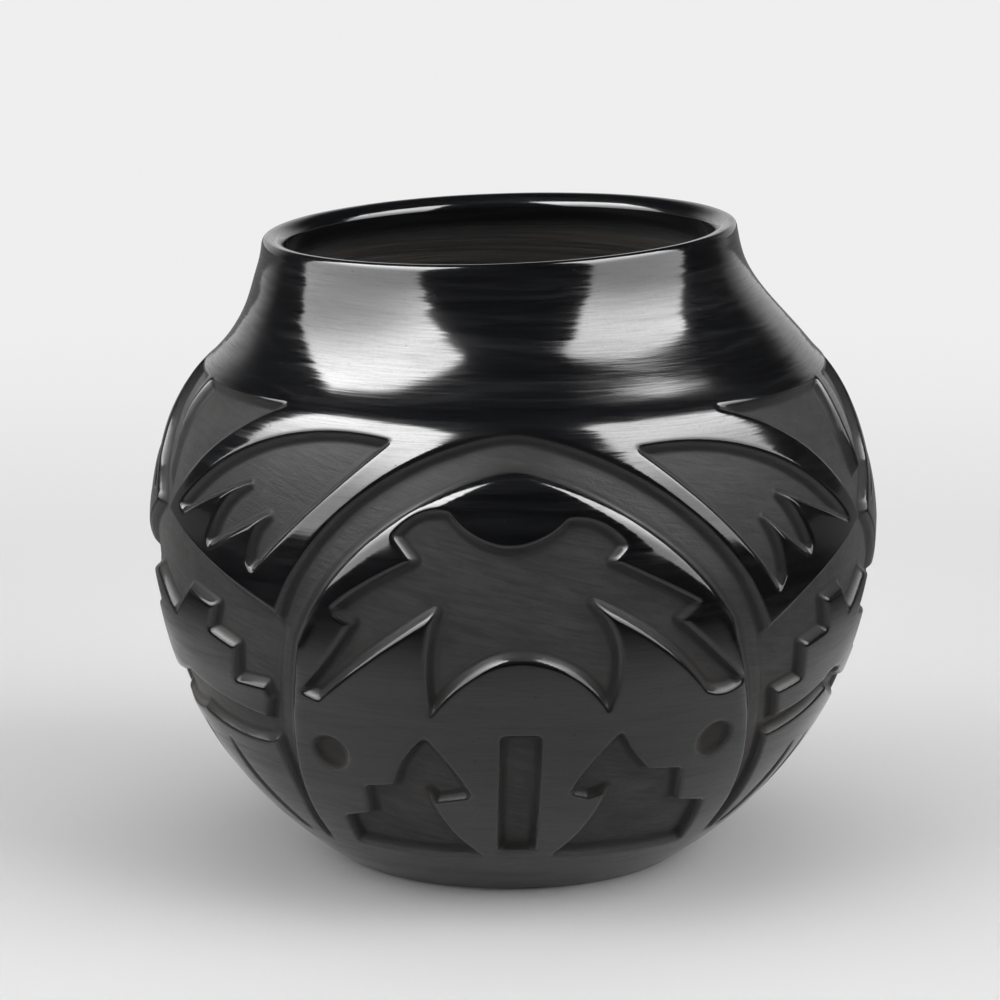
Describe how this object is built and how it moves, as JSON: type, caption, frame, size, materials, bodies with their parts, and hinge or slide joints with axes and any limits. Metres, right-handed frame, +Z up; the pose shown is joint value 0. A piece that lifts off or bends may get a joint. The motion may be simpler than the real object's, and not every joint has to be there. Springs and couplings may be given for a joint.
{
  "type": "carved jar",
  "caption": "Round burnished black clay jar with carved arches, feathers and stepped clouds, a short neck and a dished base.",
  "frame": {"origin": "centre of the base, on the surface that the jar stands on", "axes": "+Z up along the jar's axis, -Y towards the viewer of the front panel, +X to that viewer's right"},
  "size_m": [0.2598, 0.2579, 0.2245],
  "materials": {
    "burnished_clay": "stone-burnished black outside, matte dark grey on the carved ground and inside"
  },
  "bodies": {
    "root": {"base_dish": "burnished_clay", "foot_coil": "burnished_clay", "lower_coil": "burnished_clay", "flank_coil": "burnished_clay", "belly_coil": "burnished_clay", "girth_coil": "burnished_clay", "shoulder_coil": "burnished_clay", "collar_coil": "burnished_clay", "neck_coil": "burnished_clay", "rim_coil": "burnished_clay"}
  },
  "joints": []
}
